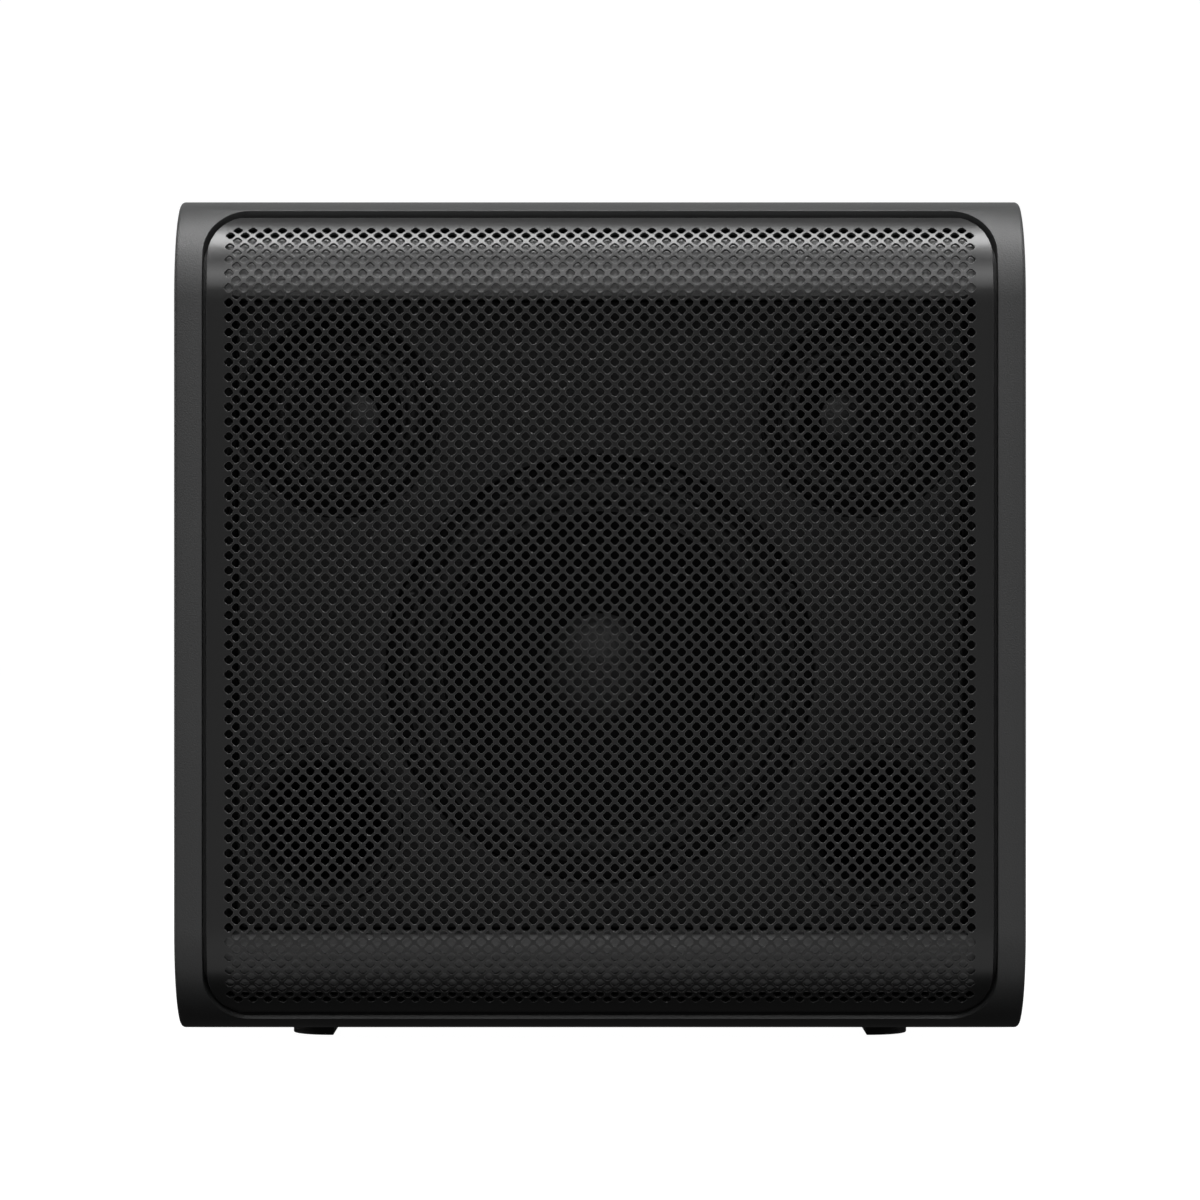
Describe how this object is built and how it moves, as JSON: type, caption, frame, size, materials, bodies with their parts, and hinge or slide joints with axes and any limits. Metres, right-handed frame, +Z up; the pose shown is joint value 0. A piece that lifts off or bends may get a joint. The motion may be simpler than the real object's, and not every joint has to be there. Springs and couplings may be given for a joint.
{
  "type": "active subwoofer",
  "caption": "Box-shaped active subwoofer: curved perforated steel grille over a woofer, tilted small drivers and reflex ports, with knobs, switches and sockets on a recessed rear panel.",
  "frame": {"origin": "middle of the footprint, on the surface that the feet rest on", "axes": "+Z up, -Y out of the grille towards the listener, +X to the right seen from the front"},
  "size_m": [0.312, 0.282, 0.312],
  "materials": {
    "bezel_plastic": "fine spark-textured graphite",
    "cabinet_board": "fibreboard under fine spark-textured graphite paint",
    "bare_board": "bare fibreboard",
    "grille_steel": "perforated steel with satin graphite powder coat",
    "baffle_paint": "moulded, fine matt charcoal",
    "rest_felt": "dense charcoal felt over foam",
    "gasket_foam": "closed-cell foam",
    "frame_steel": "pressed steel, black coat",
    "pod_plastic": "moulded, satin charcoal",
    "black_plastic": "moulded, fine matt black",
    "surround_rubber": "soft butyl rubber",
    "cone_paper": "pressed and coated paper",
    "cap_paper": "coated paper, satin",
    "spider_cloth": "phenolic-treated cloth",
    "coil_copper": "enamelled copper on a film former",
    "ferrite": "sintered ferrite",
    "plated_steel": "zinc plated",
    "tab_board": "phenolic strip with plated tabs",
    "screw_black": "black oxide steel",
    "magnet_nickel": "nickel plated",
    "panel_steel": "sheet steel, matt black powder coat",
    "sink_aluminium": "black anodised",
    "circuit_board": "green solder mask",
    "transformer_tape": "yellow film tape over copper",
    "capacitor_sleeve": "shrink sleeve",
    "knob_plastic": "moulded, satin black",
    "switch_plastic": "moulded, semi-gloss black",
    "slider_plastic": "moulded, off-white",
    "button_plastic": "moulded, mid grey",
    "jack_metal": "gold plated brass",
    "led_lens": "clear moulded lens",
    "foot_rubber": "moulded rubber",
    "lead_insulation": "flexible insulation"
  },
  "bodies": {
    "root": {"front_bezel": "bezel_plastic", "cabinet_shell": "cabinet_board", "cabinet_brace": "bare_board", "rear_cover": "bezel_plastic", "rear_screws": "screw_black", "grille": "grille_steel", "grille_magnets": "magnet_nickel", "upper_grille_rest": "rest_felt", "lower_grille_rest": "rest_felt", "front_baffle": "baffle_paint", "baffle_gasket": "gasket_foam", "baffle_screws": "screw_black", "woofer_basket": "frame_steel", "woofer_gasket": "gasket_foam", "woofer_surround": "surround_rubber", "woofer_spider": "spider_cloth", "woofer_top_plate": "plated_steel", "woofer_magnet": "ferrite", "woofer_yoke": "plated_steel", "woofer_terminals": "tab_board", "driver_screws": "screw_black", "left_port_tube": "black_plastic", "right_port_tube": "black_plastic", "amp_panel": "panel_steel", "heatsink": "sink_aluminium", "amp_board": "circuit_board", "transformer": "transformer_tape", "capacitors": "capacitor_sleeve", "potentiometers": "plated_steel", "switch_housing": "plated_steel", "rocker_housing": "black_plastic", "mains_inlet": "black_plastic", "phono_jacks": "jack_metal", "status_led": "led_lens", "rubber_feet": "foot_rubber", "speaker_leads": "lead_insulation", "left_mid_pod": "pod_plastic", "left_mid_chamber": "black_plastic", "left_mid_basket": "frame_steel", "left_mid_surround": "surround_rubber", "left_mid_motor": "plated_steel", "right_mid_pod": "pod_plastic", "right_mid_chamber": "black_plastic", "right_mid_basket": "frame_steel", "right_mid_surround": "surround_rubber", "right_mid_motor": "plated_steel"},
    "woofer_cone": {"woofer_cone": "cone_paper", "woofer_dust_cap": "cap_paper", "woofer_voice_coil": "coil_copper"},
    "left_mid_cone": {"left_mid_cone": "cone_paper", "left_mid_dust_cap": "cap_paper", "left_mid_voice_coil": "coil_copper"},
    "right_mid_cone": {"right_mid_cone": "cone_paper", "right_mid_dust_cap": "cap_paper", "right_mid_voice_coil": "coil_copper"},
    "volume_knob": {"volume_knob": "knob_plastic"},
    "crossover_knob": {"crossover_knob": "knob_plastic"},
    "phase_switch": {"phase_switch": "slider_plastic"},
    "power_rocker": {"power_rocker": "switch_plastic"},
    "pair_button": {"pair_button": "button_plastic"}
  },
  "joints": [
    {"name": "woofer_travel", "type": "slide", "parent": "root", "child": "woofer_cone", "axis": [0, -1, 0], "range_m": [-0.005, 0.005], "stiffness_N_per_m": 2200, "deforming": ["woofer_surround", "woofer_spider"]},
    {"name": "left_mid_travel", "type": "slide", "parent": "root", "child": "left_mid_cone", "axis": [-0.309, -0.9511, 0], "range_m": [-0.002, 0.002], "stiffness_N_per_m": 1500, "deforming": ["left_mid_surround"]},
    {"name": "right_mid_travel", "type": "slide", "parent": "root", "child": "right_mid_cone", "axis": [0.309, -0.9511, 0], "range_m": [-0.002, 0.002], "stiffness_N_per_m": 1500, "deforming": ["right_mid_surround"]},
    {"name": "volume_turn", "type": "hinge", "parent": "root", "child": "volume_knob", "pos_m": [0.048, 0.13, 0.19], "axis": [0, 1, 0], "range_deg": [-150, 150]},
    {"name": "crossover_turn", "type": "hinge", "parent": "root", "child": "crossover_knob", "pos_m": [0.01, 0.13, 0.19], "axis": [0, 1, 0], "range_deg": [-150, 150]},
    {"name": "phase_slide", "type": "slide", "parent": "root", "child": "phase_switch", "axis": [1, 0, 0], "range_m": [0, 0.004]},
    {"name": "power_rock", "type": "hinge", "parent": "root", "child": "power_rocker", "pos_m": [0.042, 0.124, 0.065], "axis": [1, 0, 0], "range_deg": [0, 20]},
    {"name": "pair_press", "type": "slide", "parent": "root", "child": "pair_button", "axis": [0, -1, 0], "range_m": [0, 0.0008], "stiffness_N_per_m": 400, "springref_m": -0.0005}
  ]
}
